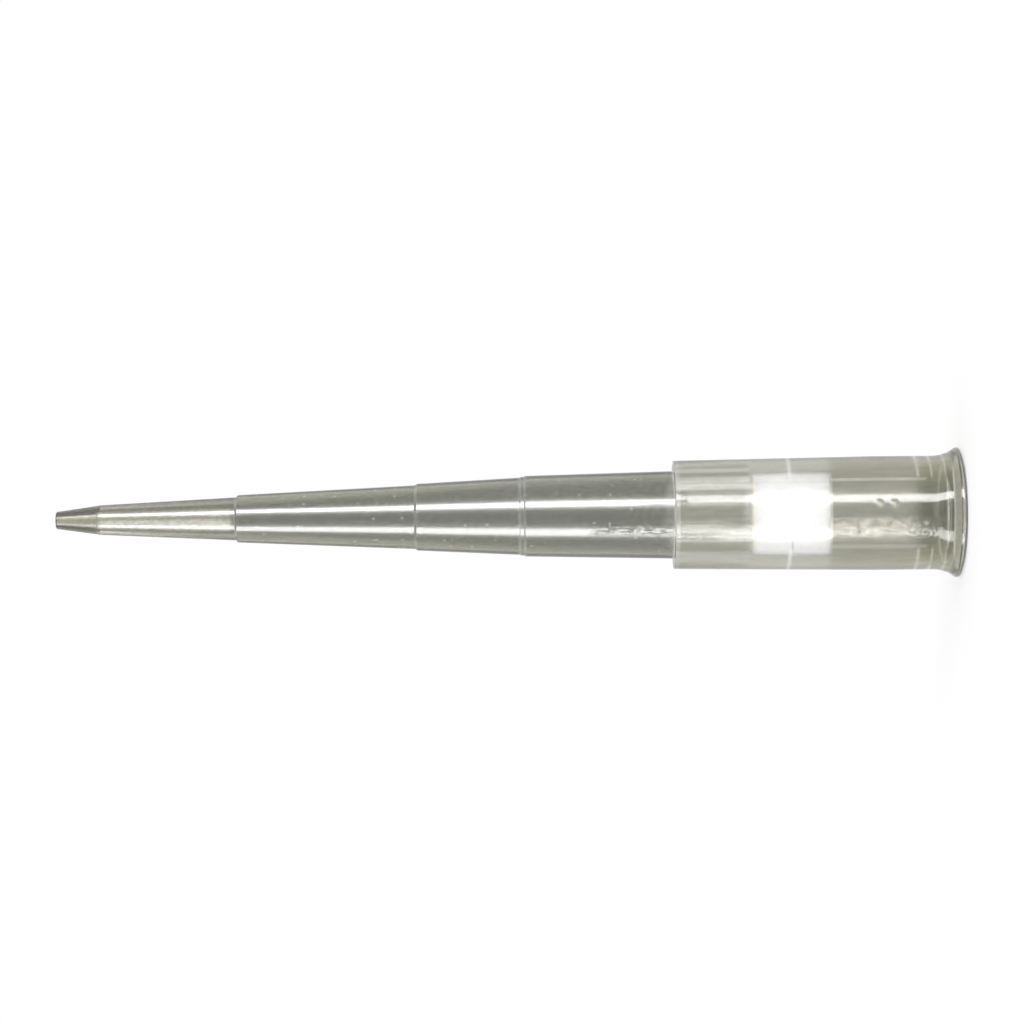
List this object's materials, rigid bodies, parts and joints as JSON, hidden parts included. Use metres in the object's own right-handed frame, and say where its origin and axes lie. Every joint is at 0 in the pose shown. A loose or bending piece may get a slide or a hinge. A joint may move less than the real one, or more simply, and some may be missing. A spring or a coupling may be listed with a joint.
{
  "type": "pipette tip",
  "caption": "Slender clear tapered liquid-handling tip with graduation rings, a wider collar, a flared mouth and a white filter plug inside.",
  "frame": {"origin": "centre of the mouth's rim face, which the tip stands on", "axes": "+Z along the tip's axis from the mouth to the orifice; X and Y are alike, as the tip is a body of revolution"},
  "size_m": [0.0074, 0.0074, 0.052],
  "materials": {
    "clear_polypropylene": "natural polypropylene, polished mould, slightly hazy",
    "porous_polyethylene": "sintered porous, matte white"
  },
  "bodies": {
    "root": {"tip_body": "clear_polypropylene", "filter_plug": "porous_polyethylene"}
  },
  "joints": []
}
